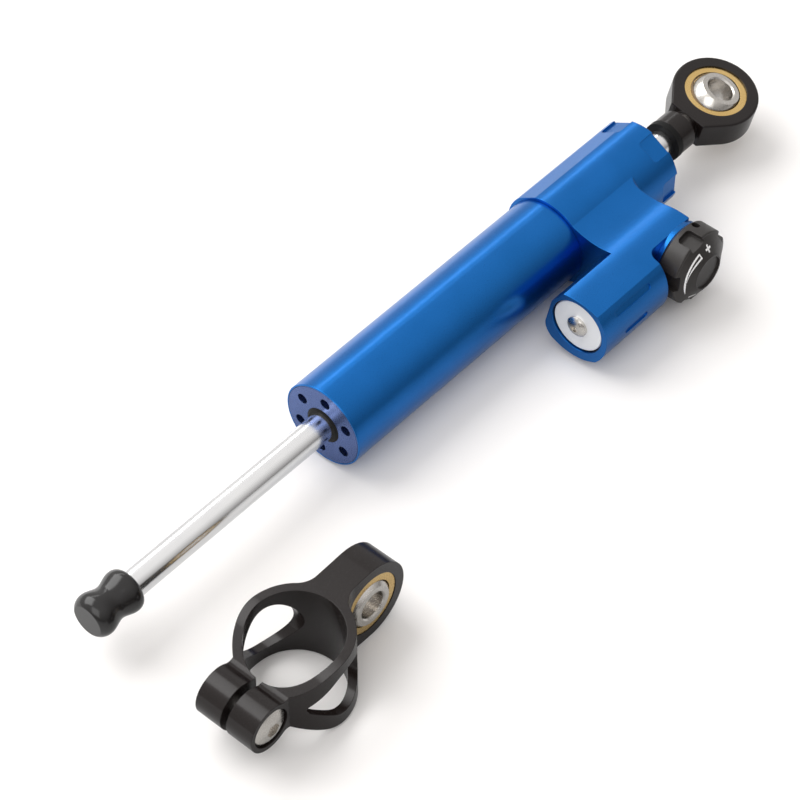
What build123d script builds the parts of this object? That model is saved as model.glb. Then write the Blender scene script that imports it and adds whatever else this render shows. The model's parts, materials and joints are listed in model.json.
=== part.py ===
"""Motorcycle steering damper with its tube clamp, in millimetres.

The origin is the centre of the tube's front face. +X runs along the damper's axis towards
the rod end, +Z is up, and the adjuster knob points along -Y. The damper stands with its
rod at the front end of the stroke, and the tube clamp lies beside it, upright on its eye.
"""

import os
from math import asin, cos, pi, radians, sin, sqrt

from build123d import *

os.makedirs("parts", exist_ok=True)


# Clearances and fits shared by several pieces
slide_gap = 0.05
thread_gap = 0.04
seat_gap = 0.1
open_gap = 0.25
seal_gap = 0.03
cut_over = 1.0
edge_break = 0.4
fine_break = 0.2

# Tube and inner liner
tube_wall = 2.0
tube_inner_d = 28.0
tube_mouth_wall = 0.6
tube_seat_step = 0.3
return_gap = 1.5
liner_wall = 1.5
port_d = 3.0
port_count = 4
port_from_end = 3.6

# Rod guides: one closes each end of the damper
guide_flange_gap = 0.15
guide_flange_t = 5.0
guide_pin_circle_d = 22.0
guide_pin_d = 4.0
guide_pin_depth = 3.5
guide_pin_count = 6
guide_pin_first_angle = 36.0
front_spigot_length = 20.4
rear_spigot_length = 39.0
guide_land_length = 3.4
guide_nose_length = 2.9
guide_nose_d = 17.2
wiper_wall = 1.8
wiper_length = 3.0
wiper_proud = 0.5
wiper_lip = 0.9
seal_wall = 2.6
seal_length = 3.2
seal_web = 1.4
bush_wall = 1.0
bush_length = 10.0
guide_o_ring_section_d = 2.0
guide_o_ring_place = 13.5
ring_sides = 8

# Piston rod and what it carries
rod_d = 10.0
rod_front_show = 16.5
rod_front_step = 2.0
rod_front_stud_length = 12.0
rod_rear_show = 15.3
rod_rear_step = 1.0
rod_rear_stud_length = 12.0
stroke = 75.0
piston_length = 14.0
piston_play = 0.4
piston_gap = 1.1
stroke_spare = 3.5
band_length = 8.0
band_wall = 1.3
clip_t = 1.2
clip_reach = 2.0
clip_groove_depth = 0.6
clip_opening = 3.2

# Bumper on the front end of the rod
bumper_length = 18.7
bumper_rod_seat = 1.9
bumper_rim_d = 15.4
bumper_rim_places = (4.0, 15.8)
bumper_waist_d = 12.6
bumper_waist_place = 9.8
bumper_shoulder_d = 14.2
bumper_shoulder_places = (1.4, 17.8)
bumper_end_d = 11.6

# Valve housing: sleeve, arm and reservoir block in one billet
sleeve_rise = 1.3
tube_seat_length = 12.6
sleeve_length = 52.6
pocket_count = 6
pocket_width = 9.0
pocket_length = 8.4
pocket_depth = 1.4
pocket_corner_r = 1.8
arm_width = 31.2
arm_blend_r = 2.2
arm_waist_place = 19.0
arm_waist_height = 11.1
arm_root_angle = 111.0
block_lead = 25.8
block_y = 34.5
block_crown = 12.0
block_crown_half = 8.4
block_crown_edge = 10.2
block_inner_corner_place = 6.3
block_inner_corner = 11.6
block_flat_place = 11.2
block_flat_top = 5.0
block_heel_place = 13.4
block_heel = 6.0
block_heel_turn_place = 12.2
block_heel_turn = 10.2
block_foot_inner = 12.8
block_foot_half = 8.6
block_foot_edge = 11.6
block_bottom = 14.4
block_side = 12.9
block_side_drop = 1.0
knob_wall_place = 8.1
knob_seat_y = 37.5
knob_wall_r = 3.4
slot_long = 19.0
slot_short = 12.0
slot_width = 2.6
slot_depth = 0.5
slot_reach = 12.98
slot_centre_place = 16.6
slot_high_angle = 35.0
slot_low_angle = -9.0
sleeve_flat_angle = 57.0
sleeve_flat_depth = 0.5
sleeve_rim_break = 0.3
valve_exit_d = 5.0
valve_exit_depth = 24.5
annulus_feed_place = 2.8
relief_length = 4.0
spool_groove_d = 18.0
spool_groove_length = 7.0
spool_channel_d = 2.0
spool_channel_circle_d = 19.5

# Reservoir inside the block
reservoir_bore_d = 21.4
ring_groove_depth = 0.8
ring_groove_place = 1.0
ring_opening = 5.0
reservoir_depth = 29.4
cap_face_inset = 0.6
cap_step = 0.5
cap_body_t = 4.2
cap_boss_d = 9.0
cap_boss_t = 3.6
ring_t = 1.2
ring_inner_d = 20.5
reservoir_screw_head_d = 8.0
reservoir_screw_head_t = 2.3
reservoir_screw_d = 4.0
reservoir_screw_length = 8.0
reservoir_hex_af = 2.5
reservoir_hex_depth = 1.3
separator_place = 16.6
separator_length = 6.4
separator_dish_d = 14.0
separator_dish_depth = 2.4
reservoir_o_ring_section_d = 1.6
spring_wire = 1.2
spring_turns = 2.5
spring_mean_d = 16.4
feed_d = 2.4
feed_y = 25.8

# Adjuster
knob_place = 24.1
gland_flange_d = 25.0
gland_flange_t = 2.0
gland_thread_d = 12.0
gland_length = 8.5
gland_o_ring_place = 4.0
spindle_d = 6.0
spindle_collar_play = 0.2
spindle_collar_t = 1.8
spindle_o_ring_section_d = 1.3
spool_d = 5.0
spool_cut_length = 4.8
valve_bore_d = 8.4
valve_floor_depth = 18.5
valve_seat_length = 4.0
valve_seat_floor = 1.2
valve_port_r = 1.9
knob_d = 28.4
knob_gap = 0.35
knob_height = 12.5
knob_cone_height = 4.0
knob_face_d = 13.6
knob_lip = 0.5
knob_dish_depth = 0.7
knob_edge_r = 0.7
knob_heel_break = 1.0
notch_count = 5
notch_first_angle = 102.0
notch_width = 6.2
notch_depth = 2.1
notch_back_rim = 2.4
notch_corner_r = 1.4
knob_cap_t = 2.4
grub_d = 3.0
grub_length = 6.0
grub_angle = 73.0
grub_place = 2.65
grub_inset = 0.8
detent_radius = 7.6
detent_proud = 0.3
detent_count = 24
detent_ball_d = 2.0
detent_hole_depth = 5.4
detent_hole_d = 2.1
detent_wire = 0.3
detent_turns = 4
detent_dimple_d = 1.2
detent_dimple_depth = 0.25
mark_t = 0.15
scale_outer_r = 10.7
scale_width = 1.9
scale_line = 0.45
scale_from_angle = 108.0
scale_to_angle = 206.0
sign_size = 2.6
sign_line = 0.6
sign_radius = 9.9
sign_angles = (84.0, 234.0)

# Rod end with its spherical bearing
rod_end_place = 27.3
rod_end_roll = 12.5
head_wall = 4.5
plate_t = 11.6
neck_d = 15.0
neck_length = 11.5
neck_root = 17.0
neck_taper = 4.4
plate_edge_r = 0.9
head_tangent_angle = 37.0
washer_od = 15.4
washer_t = 2.4
race_wall = 1.4
race_t = 10.4
ball_d = 20.4
ball_width = 14.0
ball_bore_d = 10.0
ball_bore_break = 0.5
bearing_liner_t = 0.25
bearing_gap = 0.06
clamp_race_t = 11.6
bearing_liner_half = 3.4
ball_lean = 11.9
ball_roll = 20.8

# Tube clamp
clamp_x = -76.3
clamp_y = -58.0
clamp_z = -1.85
clamp_wall = 3.0
clamp_half_height = 14.5
lug_reach = 23.3
lug_r = 8.8
lug_half_width = 11.6
slit_width = 2.6
crown_place = 3.0
crown_r = 21.0
ramp_angle = 29.6
ramp_blend_r = 3.0
eye_reach = 32.0
eye_wall = 3.9
eye_t = 12.0
eye_offset = 3.5
eye_blend_r = 8.0
lug_blend_r = 4.0
window_round_place = 3.6
window_round_r = 10.0
window_tip_place = 9.2
window_tip_r = 2.2
clamp_screw_head_d = 13.0
clamp_screw_head_t = 2.8
clamp_screw_d = 6.0
clamp_screw_length = 20.0
clamp_screw_hex_af = 4.6
clamp_screw_hex_depth = 2.0
counterbore_gap = 0.6
counterbore_depth = 1.6


def save(piece, name):
    """Label one finished piece and write it to its own STEP file."""
    piece.part.label = name
    export_step(piece.part, f"parts/{name}.step")


def around(radius, angle):
    """A point at a radius and an angle in degrees."""
    return (radius * cos(radians(angle)), radius * sin(radians(angle)))


def dome(height, rim_height, rim_r):
    """Three points on a round head's top, from its rim to its apex on the axis."""
    rise = height - rim_height
    big_r = (rim_r * rim_r + rise * rise) / (2 * rise)
    half = asin(rim_r / big_r) / 2
    return (
        (rim_height, rim_r),
        (height - big_r + big_r * cos(half), big_r * sin(half)),
        (height, 0),
    )


def coil_section(coil, centre):
    """The plane of a square wire's section at a coil's start, one side facing the axis."""
    start = coil @ 0
    return Plane(origin=start, x_dir=start - Vector(centre), z_dir=coil % 0)


# Sizes worked out from the ones above
tube_od = tube_inner_d + 2 * tube_wall
tube_mouth_bore = tube_od - 2 * tube_mouth_wall
tube_seat_d = tube_od - 2 * tube_seat_step
liner_od = tube_inner_d - 2 * return_gap
liner_inner_d = liner_od - 2 * liner_wall
guide_flange_d = tube_mouth_bore - 2 * guide_flange_gap
wiper_od = rod_d + 2 * wiper_wall
seal_od = rod_d + 2 * seal_wall
bush_od = rod_d + 2 * bush_wall
rod_front_stud_d = rod_d - 2 * rod_front_step
rod_rear_stud_d = rod_d - 2 * rod_rear_step
piston_d = liner_inner_d - 2 * piston_play
clip_od = rod_d + 2 * clip_reach
sleeve_od = tube_od + 2 * sleeve_rise
sleeve_flat_reach = sleeve_od / 2 - sleeve_flat_depth
relief_d = liner_od
cap_flange_d = reservoir_bore_d - 2 * slide_gap
ring_groove_d = reservoir_bore_d + 2 * ring_groove_depth
ring_od = ring_groove_d - 2 * seat_gap
cap_d = cap_flange_d - 2 * cap_step
race_od = ball_d + 2 * race_wall
head_r = race_od / 2 + head_wall
eye_r = race_od / 2 + eye_wall
clamp_bore_d = tube_od + 2 * slide_gap
counterbore_d = clamp_screw_head_d + 2 * counterbore_gap
spindle_collar_d = valve_bore_d - 2 * spindle_collar_play
knob_dish_d = knob_face_d - 2 * knob_lip


# Places worked out from the sizes above
front_guide_length = front_spigot_length + guide_land_length + guide_nose_length
rear_guide_length = rear_spigot_length + guide_land_length + guide_nose_length
piston_front = front_guide_length + clip_t + piston_gap
piston_rear = piston_front + piston_length
chamber_end = piston_rear + stroke + clip_t + stroke_spare
body_rear = chamber_end + rear_guide_length
tube_length = body_rear - sleeve_length + tube_seat_length
rod_front_reach = stroke + rod_front_show
sleeve_start = tube_length - tube_seat_length
arm_far_face = sleeve_start + arm_width
arm_blend_reach = arm_far_face + arm_blend_r
block_front = sleeve_start - block_lead
knob_wall_x = sleeve_start + knob_wall_place
knob_x = sleeve_start + knob_place
annulus_feed_x = tube_length + annulus_feed_place
slot_centre_x = block_front + slot_centre_place
spool_groove_place = body_rear - knob_x
rod_rear_reach = body_rear + rod_rear_show
rod_end_x = rod_rear_reach + rod_end_place
liner_start = front_spigot_length + seat_gap
liner_end = body_rear - rear_spigot_length - seat_gap
reservoir_axis = Axis((0, -block_y, 0), (1, 0, 0))
reservoir_half = Plane(origin=(block_front, -block_y, 0), x_dir=(1, 0, 0), z_dir=(0, -1, 0))
knob_axis = Axis((knob_x, 0, 0), (0, -1, 0))
knob_half = Plane(origin=(knob_x, -knob_seat_y, 0), x_dir=(0, -1, 0), z_dir=(0, 0, 1))
knob_plane = Plane(origin=(knob_x, -knob_seat_y, 0), x_dir=(1, 0, 0), z_dir=(0, -1, 0))


# Tube: thin mouth in front for the guide's flange, turned down where the housing holds it
with BuildPart() as cylinder_tube:
    with BuildSketch(Plane.XZ):
        with BuildLine():
            Polyline(
                (0, tube_mouth_bore / 2),
                (0, tube_od / 2),
                (sleeve_start - seat_gap, tube_od / 2),
                (sleeve_start - seat_gap, tube_seat_d / 2),
                (tube_length, tube_seat_d / 2),
                (tube_length, tube_inner_d / 2),
                (guide_flange_t + seat_gap, tube_inner_d / 2),
                (guide_flange_t + seat_gap, tube_mouth_bore / 2),
                close=True,
            )
        make_face()
    revolve(axis=Axis.X)
    mouth_edges = cylinder_tube.edges().group_by(Axis.X)[0].sort_by(SortBy.RADIUS)[-1:]
    chamfer(mouth_edges, fine_break)
save(cylinder_tube, "cylinder_tube")


# Inner liner: the piston runs in it, and oil returns round its outside
with BuildPart() as inner_liner:
    with BuildSketch(Plane.YZ.offset(liner_start)):
        Circle(liner_od / 2)
        Circle(liner_inner_d / 2, mode=Mode.SUBTRACT)
    extrude(amount=liner_end - liner_start)
    for port_x in (liner_start + port_from_end + port_d, liner_end - port_from_end - port_d):
        with BuildSketch(Plane.XY.offset(-liner_od)):
            with Locations((port_x, 0)):
                Circle(port_d / 2)
        extrude(amount=2 * liner_od, mode=Mode.SUBTRACT)
        with BuildSketch(Plane.XZ.offset(-liner_od)):
            with Locations((port_x, 0)):
                Circle(port_d / 2)
        extrude(amount=2 * liner_od, mode=Mode.SUBTRACT)
save(inner_liner, "inner_liner")


# Rod guides, each with its wiper, seal, bush and O-ring
rod_hole_r = rod_d / 2 + open_gap
seal_start = wiper_length + seal_web
bush_start = seal_start + seal_length + seal_web
groove_floor_r = tube_inner_d / 2 - guide_o_ring_section_d - slide_gap
groove_half = guide_o_ring_section_d / 2 + seat_gap
guide_ends = (
    ("front", 0, 1, front_spigot_length, front_guide_length),
    ("rear", body_rear, -1, rear_spigot_length, rear_guide_length),
)
for end, end_x, inward, spigot_length, guide_length in guide_ends:
    half = Plane(origin=(end_x, 0, 0), x_dir=(inward, 0, 0), z_dir=(0, -inward, 0))
    face = Plane(origin=(end_x, 0, 0), x_dir=(0, 1, 0), z_dir=(inward, 0, 0))

    with BuildPart() as rod_guide:
        with BuildSketch(half):
            with BuildLine():
                Polyline(
                    (0, wiper_od / 2 + seal_gap),
                    (wiper_length, wiper_od / 2 + seal_gap),
                    (wiper_length, rod_hole_r),
                    (seal_start, rod_hole_r),
                    (seal_start, seal_od / 2 + seal_gap),
                    (seal_start + seal_length, seal_od / 2 + seal_gap),
                    (seal_start + seal_length, rod_hole_r),
                    (bush_start, rod_hole_r),
                    (bush_start, bush_od / 2),
                    (bush_start + bush_length, bush_od / 2),
                    (bush_start + bush_length, rod_hole_r),
                    (guide_length, rod_hole_r),
                    (guide_length, guide_nose_d / 2),
                    (spigot_length + guide_land_length, guide_nose_d / 2),
                    (spigot_length + guide_land_length, liner_inner_d / 2 - slide_gap),
                    (spigot_length, liner_inner_d / 2 - slide_gap),
                    (spigot_length, tube_inner_d / 2 - slide_gap),
                    (guide_o_ring_place + groove_half, tube_inner_d / 2 - slide_gap),
                    (guide_o_ring_place + groove_half, groove_floor_r),
                    (guide_o_ring_place - groove_half, groove_floor_r),
                    (guide_o_ring_place - groove_half, tube_inner_d / 2 - slide_gap),
                    (guide_flange_t, tube_inner_d / 2 - slide_gap),
                    (guide_flange_t, guide_flange_d / 2),
                    (0, guide_flange_d / 2),
                    close=True,
                )
            make_face()
        revolve(axis=Axis.X)
        with BuildSketch(face):
            with PolarLocations(guide_pin_circle_d / 2, guide_pin_count, guide_pin_first_angle):
                Circle(guide_pin_d / 2)
        extrude(amount=guide_pin_depth, mode=Mode.SUBTRACT)
        if end == "rear":
            with BuildSketch(half):
                with Locations((spigot_length - relief_length / 2, tube_inner_d / 2)):
                    Rectangle(relief_length, tube_inner_d - relief_d)
                with Locations((spool_groove_place, tube_inner_d / 2)):
                    Rectangle(spool_groove_length, tube_inner_d - spool_groove_d)
            revolve(axis=Axis.X, mode=Mode.SUBTRACT)
            with BuildSketch(face.offset(spool_groove_place)):
                with PolarLocations(spool_channel_circle_d / 2, port_count):
                    Circle(spool_channel_d / 2)
            extrude(amount=guide_length, mode=Mode.SUBTRACT)
    save(rod_guide, f"{end}_rod_guide")

    with BuildPart() as wiper:
        with BuildSketch(half):
            with BuildLine():
                Polyline(
                    (wiper_length - seal_gap, rod_d / 2 + open_gap),
                    (wiper_length - seal_gap, wiper_od / 2),
                    (0, wiper_od / 2),
                    (-wiper_proud, rod_d / 2 + wiper_lip),
                    (-wiper_proud, rod_d / 2 + seal_gap),
                    (0, rod_d / 2 + seal_gap),
                    close=True,
                )
            make_face()
        revolve(axis=Axis.X)
    save(wiper, f"{end}_wiper")

    with BuildPart() as rod_seal:
        with BuildSketch(half):
            with BuildLine():
                Polyline(
                    (seal_start + seal_gap, rod_d / 2 + open_gap),
                    (seal_start + seal_length - seal_gap, rod_d / 2 + seal_gap),
                    (seal_start + seal_length - seal_gap, seal_od / 2),
                    (seal_start + seal_gap, seal_od / 2),
                    close=True,
                )
            make_face()
        revolve(axis=Axis.X)
    save(rod_seal, f"{end}_rod_seal")

    with BuildPart() as guide_bush:
        with BuildSketch(half):
            with BuildLine():
                Polyline(
                    (bush_start + seal_gap, rod_d / 2 + seal_gap),
                    (bush_start + bush_length - seal_gap, rod_d / 2 + seal_gap),
                    (bush_start + bush_length - seal_gap, bush_od / 2 - seal_gap),
                    (bush_start + seal_gap, bush_od / 2 - seal_gap),
                    close=True,
                )
            make_face()
        revolve(axis=Axis.X)
    save(guide_bush, f"{end}_guide_bush")

    with BuildPart() as guide_o_ring:
        with BuildSketch(half):
            with Locations((guide_o_ring_place, tube_inner_d / 2 - guide_o_ring_section_d / 2 - seal_gap)):
                RegularPolygon(guide_o_ring_section_d / 2, ring_sides)
        revolve(axis=Axis.X)
    save(guide_o_ring, f"{end}_guide_o_ring")


# Piston rod: a groove each side of the piston, a stud at each end
rod_grooves = (piston_front - clip_t - seal_gap, piston_rear - seal_gap)
with BuildPart() as piston_rod:
    with BuildSketch(Plane.XZ):
        with BuildLine():
            Polyline(
                (-rod_front_reach - rod_front_stud_length, 0),
                (-rod_front_reach - rod_front_stud_length, rod_front_stud_d / 2),
                (-rod_front_reach, rod_front_stud_d / 2),
                (-rod_front_reach, rod_d / 2),
                (rod_rear_reach, rod_d / 2),
                (rod_rear_reach, rod_rear_stud_d / 2),
                (rod_rear_reach + rod_rear_stud_length, rod_rear_stud_d / 2),
                (rod_rear_reach + rod_rear_stud_length, 0),
                close=True,
            )
        make_face()
    revolve(axis=Axis.X)
    for groove_x in rod_grooves:
        with BuildSketch(Plane.YZ.offset(groove_x)):
            Circle(rod_d / 2 + cut_over)
            Circle(rod_d / 2 - clip_groove_depth, mode=Mode.SUBTRACT)
        extrude(amount=clip_t + 2 * seal_gap, mode=Mode.SUBTRACT)
save(piston_rod, "piston_rod")


# Piston clips: one open ring in each groove of the rod
with BuildPart() as piston_clips:
    for groove_x in rod_grooves:
        with BuildSketch(Plane.YZ.offset(groove_x + seal_gap)):
            Circle(clip_od / 2)
            Circle(rod_d / 2 - clip_groove_depth + seal_gap, mode=Mode.SUBTRACT)
            with Locations((0, -clip_od / 2)):
                Rectangle(clip_opening, clip_od, mode=Mode.SUBTRACT)
        extrude(amount=clip_t)
save(piston_clips, "piston_clips")


# Piston, with a groove for its guide band
band_middle = piston_front + piston_length / 2
band_floor_r = liner_inner_d / 2 - slide_gap - band_wall - slide_gap
with BuildPart() as piston:
    with BuildSketch(Plane.YZ.offset(piston_front)):
        Circle(piston_d / 2)
        Circle(rod_d / 2 + slide_gap, mode=Mode.SUBTRACT)
    extrude(amount=piston_length)
    with BuildSketch(Plane.YZ.offset(band_middle - band_length / 2)):
        Circle(piston_d / 2 + cut_over)
        Circle(band_floor_r, mode=Mode.SUBTRACT)
    extrude(amount=band_length, mode=Mode.SUBTRACT)
save(piston, "piston")

with BuildPart() as piston_band:
    with BuildSketch(Plane.YZ.offset(band_middle - band_length / 2 + slide_gap)):
        Circle(liner_inner_d / 2 - slide_gap)
        Circle(band_floor_r + slide_gap, mode=Mode.SUBTRACT)
    extrude(amount=band_length - 2 * slide_gap)
save(piston_band, "piston_band")


# Rod bumper: two soft bulges with a waist between, over the rod's front stud
bumper_rear = bumper_rod_seat - rod_front_reach
bumper_front = bumper_rear - bumper_length
bumper_outline = (
    (bumper_front, bumper_end_d / 2),
    (bumper_front + bumper_shoulder_places[0], bumper_shoulder_d / 2),
    (bumper_front + bumper_rim_places[0], bumper_rim_d / 2),
    (bumper_front + bumper_waist_place, bumper_waist_d / 2),
    (bumper_front + bumper_rim_places[1], bumper_rim_d / 2),
    (bumper_front + bumper_shoulder_places[1], bumper_shoulder_d / 2),
    (bumper_rear, bumper_end_d / 2),
)
bumper_bore_end = rod_front_reach + seat_gap
bumper_stud_end = rod_front_reach + rod_front_stud_length + seat_gap
with BuildPart() as rod_bumper:
    with BuildSketch(Plane.XZ):
        with BuildLine():
            Spline(*bumper_outline)
            Polyline(
                bumper_outline[-1],
                (bumper_rear, rod_d / 2 + slide_gap),
                (-bumper_bore_end, rod_d / 2 + slide_gap),
                (-bumper_bore_end, rod_front_stud_d / 2 + slide_gap),
                (-bumper_stud_end, rod_front_stud_d / 2 + slide_gap),
                (-bumper_stud_end, 0),
                (bumper_front, 0),
                bumper_outline[0],
            )
        make_face()
    revolve(axis=Axis.X)
save(rod_bumper, "rod_bumper")


# Valve housing: arm first, then the sleeve and the reservoir block
sleeve_r = sleeve_od / 2
arm_root = (sleeve_r * cos(radians(arm_root_angle)), sleeve_r * sin(radians(arm_root_angle)))
blend_turn = arm_blend_r * (1 - sqrt(1 / 2))
arm_end_place = block_y - block_inner_corner_place
block_plane = Plane(origin=(block_front, -block_y, 0), x_dir=(0, -1, 0), z_dir=(-1, 0, 0))
with BuildPart() as valve_housing:
    with BuildSketch(Plane.YZ.offset(sleeve_start)):
        with BuildLine():
            ThreePointArc(
                arm_root,
                (-arm_waist_place, arm_waist_height),
                (-arm_end_place, block_inner_corner),
            )
            Line((-arm_end_place, block_inner_corner), (-arm_end_place, -block_inner_corner))
            ThreePointArc(
                (-arm_end_place, -block_inner_corner),
                (-arm_waist_place, -arm_waist_height),
                (arm_root[0], -arm_root[1]),
            )
            Line((arm_root[0], -arm_root[1]), arm_root)
        make_face()
    extrude(amount=arm_blend_reach - sleeve_start)
    with BuildSketch(Plane.XZ):
        with BuildLine():
            Polyline(
                (arm_blend_reach, sleeve_r),
                (arm_blend_reach, 0),
                (sleeve_start, 0),
                (sleeve_start, block_y),
                (arm_blend_reach - arm_blend_r, block_y),
                (arm_blend_reach - arm_blend_r, sleeve_r + arm_blend_r),
            )
            ThreePointArc(
                (arm_blend_reach - arm_blend_r, sleeve_r + arm_blend_r),
                (arm_blend_reach - arm_blend_r + blend_turn, sleeve_r + blend_turn),
                (arm_blend_reach, sleeve_r),
            )
        make_face()
    revolve(axis=Axis.X, mode=Mode.INTERSECT)

    # Sleeve, with the flat milled along it
    with BuildSketch(Plane.YZ.offset(sleeve_start)):
        Circle(sleeve_r)
        with Locations(around(sleeve_flat_reach, sleeve_flat_angle)):
            Rectangle(
                sleeve_r,
                sleeve_od,
                rotation=sleeve_flat_angle,
                align=(Align.MIN, Align.CENTER),
                mode=Mode.SUBTRACT,
            )
    extrude(amount=body_rear - sleeve_start)
    chamfer(valve_housing.edges().group_by(Axis.X)[-1], sleeve_rim_break)

    with BuildSketch(block_plane):
        with BuildLine():
            ThreePointArc(
                (-block_inner_corner_place, block_inner_corner),
                (0, block_crown),
                (block_crown_half, block_crown_edge),
            )
            ThreePointArc(
                (block_crown_half, block_crown_edge),
                (block_side, -block_side_drop),
                (block_foot_half, -block_foot_edge),
            )
            ThreePointArc(
                (block_foot_half, -block_foot_edge),
                (0, -block_bottom),
                (-block_foot_half, -block_foot_inner),
            )
            ThreePointArc(
                (-block_foot_half, -block_foot_inner),
                (-block_heel_turn_place, -block_heel_turn),
                (-block_heel_place, -block_heel),
            )
            Polyline(
                (-block_heel_place, -block_heel),
                (-block_flat_place, block_flat_top),
                (-block_inner_corner_place, block_inner_corner),
            )
        make_face()
    extrude(amount=block_front - arm_far_face)

    # Six wrench pockets round the sleeve's end
    for pocket in range(pocket_count):
        turn = radians(pocket * 360 / pocket_count)
        pocket_plane = Plane(
            origin=(body_rear, sleeve_r * cos(turn), sleeve_r * sin(turn)),
            x_dir=(1, 0, 0),
            z_dir=(0, cos(turn), sin(turn)),
        )
        with BuildSketch(pocket_plane.offset(cut_over)) as pocket_shape:
            Rectangle(2 * pocket_length, pocket_width)
            fillet(pocket_shape.vertices().group_by(Axis.X)[0], pocket_corner_r)
        extrude(amount=-pocket_depth - cut_over, mode=Mode.SUBTRACT)

    # Step down to the knob's seat, and the two shallow slots in the block's side
    with BuildSketch(Plane.XY.offset(-sleeve_od)) as knob_step:
        with Locations((knob_wall_x, -knob_seat_y)):
            Rectangle(block_y, block_y, align=(Align.MIN, Align.MAX))
        fillet(knob_step.vertices().group_by(Axis.X)[0].sort_by(Axis.Y)[-1:], knob_wall_r)
    extrude(amount=2 * sleeve_od, mode=Mode.SUBTRACT)
    for slot_angle, slot_length in ((slot_high_angle, slot_long), (slot_low_angle, slot_short)):
        lean = radians(slot_angle)
        slot_plane = Plane(
            origin=(
                slot_centre_x,
                -block_y - slot_reach * cos(lean),
                slot_reach * sin(lean),
            ),
            x_dir=(1, 0, 0),
            z_dir=(0, -cos(lean), sin(lean)),
        )
        with BuildSketch(slot_plane.offset(cut_over)):
            SlotOverall(slot_length, slot_width)
        extrude(amount=-slot_depth - cut_over, mode=Mode.SUBTRACT)

    # Bore for the tube and the rear guide
    with BuildSketch(Plane.XZ):
        with BuildLine():
            Polyline(
                (sleeve_start - cut_over, 0),
                (sleeve_start - cut_over, tube_seat_d / 2 + slide_gap),
                (tube_length + seat_gap, tube_seat_d / 2 + slide_gap),
                (tube_length + seat_gap, tube_inner_d / 2),
                (body_rear - guide_flange_t - seat_gap, tube_inner_d / 2),
                (body_rear - guide_flange_t - seat_gap, tube_mouth_bore / 2),
                (body_rear + cut_over, tube_mouth_bore / 2),
                (body_rear + cut_over, 0),
                close=True,
            )
        make_face()
    revolve(axis=Axis.X, mode=Mode.SUBTRACT)

    # Reservoir with its ring groove
    with BuildSketch(reservoir_half):
        with BuildLine():
            Polyline(
                (-cut_over, 0),
                (-cut_over, reservoir_bore_d / 2),
                (ring_groove_place, reservoir_bore_d / 2),
                (ring_groove_place, ring_groove_d / 2),
                (ring_groove_place + ring_t + 2 * slide_gap, ring_groove_d / 2),
                (ring_groove_place + ring_t + 2 * slide_gap, reservoir_bore_d / 2),
                (reservoir_depth, reservoir_bore_d / 2),
                (reservoir_depth, 0),
                close=True,
            )
        make_face()
    revolve(axis=reservoir_axis, mode=Mode.SUBTRACT)

    # Valve bore, its way out to the guide, and the oil ways
    with BuildSketch(knob_half):
        with BuildLine():
            Polyline(
                (cut_over, 0),
                (cut_over, gland_thread_d / 2 + thread_gap),
                (-gland_length - seat_gap, gland_thread_d / 2 + thread_gap),
                (-gland_length - seat_gap, valve_bore_d / 2),
                (-valve_floor_depth, valve_bore_d / 2),
                (-valve_floor_depth, valve_exit_d / 2),
                (-valve_exit_depth, valve_exit_d / 2),
                (-valve_exit_depth, 0),
                close=True,
            )
        make_face()
    revolve(axis=knob_axis, mode=Mode.SUBTRACT)
    with BuildSketch(Plane.YZ.offset(block_front + reservoir_depth - cut_over)):
        with Locations((-feed_y, 0)):
            Circle(feed_d / 2)
    extrude(amount=knob_x - block_front - reservoir_depth + cut_over, mode=Mode.SUBTRACT)
    with BuildSketch(Plane.XZ.offset(feed_y)):
        with Locations((annulus_feed_x, 0)):
            Circle(feed_d / 2)
    extrude(amount=tube_inner_d / 2 - feed_y - cut_over, mode=Mode.SUBTRACT)
    with BuildSketch(knob_plane):
        with Locations((0, detent_radius)):
            Circle(detent_hole_d / 2)
    extrude(amount=gland_flange_t - detent_hole_depth, mode=Mode.SUBTRACT)
save(valve_housing, "valve_housing")


# Reservoir: end cap, its ring and its bleed screw
cap_face = cap_face_inset
cap_shoulder = ring_groove_place + ring_t + 2 * slide_gap + seal_gap
cap_back = cap_shoulder + cap_body_t
o_ring_groove_half = reservoir_o_ring_section_d / 2 + seat_gap
reservoir_floor_r = reservoir_bore_d / 2 - reservoir_o_ring_section_d - seat_gap
with BuildPart() as reservoir_cap:
    with BuildSketch(reservoir_half):
        with BuildLine():
            Polyline(
                (cap_face, reservoir_screw_d / 2 + thread_gap),
                (cap_face, cap_d / 2 - fine_break),
                (cap_face + fine_break, cap_d / 2),
                (cap_shoulder, cap_d / 2),
                (cap_shoulder, cap_flange_d / 2),
                (cap_back - cap_body_t / 2 - o_ring_groove_half, cap_flange_d / 2),
                (cap_back - cap_body_t / 2 - o_ring_groove_half, reservoir_floor_r),
                (cap_back - cap_body_t / 2 + o_ring_groove_half, reservoir_floor_r),
                (cap_back - cap_body_t / 2 + o_ring_groove_half, cap_flange_d / 2),
                (cap_back, cap_flange_d / 2),
                (cap_back, cap_boss_d / 2),
                (cap_back + cap_boss_t, cap_boss_d / 2),
                (cap_back + cap_boss_t, reservoir_screw_d / 2 + thread_gap),
                close=True,
            )
        make_face()
    revolve(axis=reservoir_axis)
save(reservoir_cap, "reservoir_cap")

reservoir_end = Plane(origin=(block_front, -block_y, 0), x_dir=(0, -1, 0), z_dir=(1, 0, 0))
with BuildPart() as reservoir_ring:
    with BuildSketch(reservoir_end.offset(ring_groove_place + slide_gap)):
        Circle(ring_od / 2)
        Circle(ring_inner_d / 2, mode=Mode.SUBTRACT)
        with Locations((0, ring_od / 2)):
            Rectangle(ring_opening, ring_od / 2, mode=Mode.SUBTRACT)
    extrude(amount=ring_t)
save(reservoir_ring, "reservoir_ring")

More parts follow.
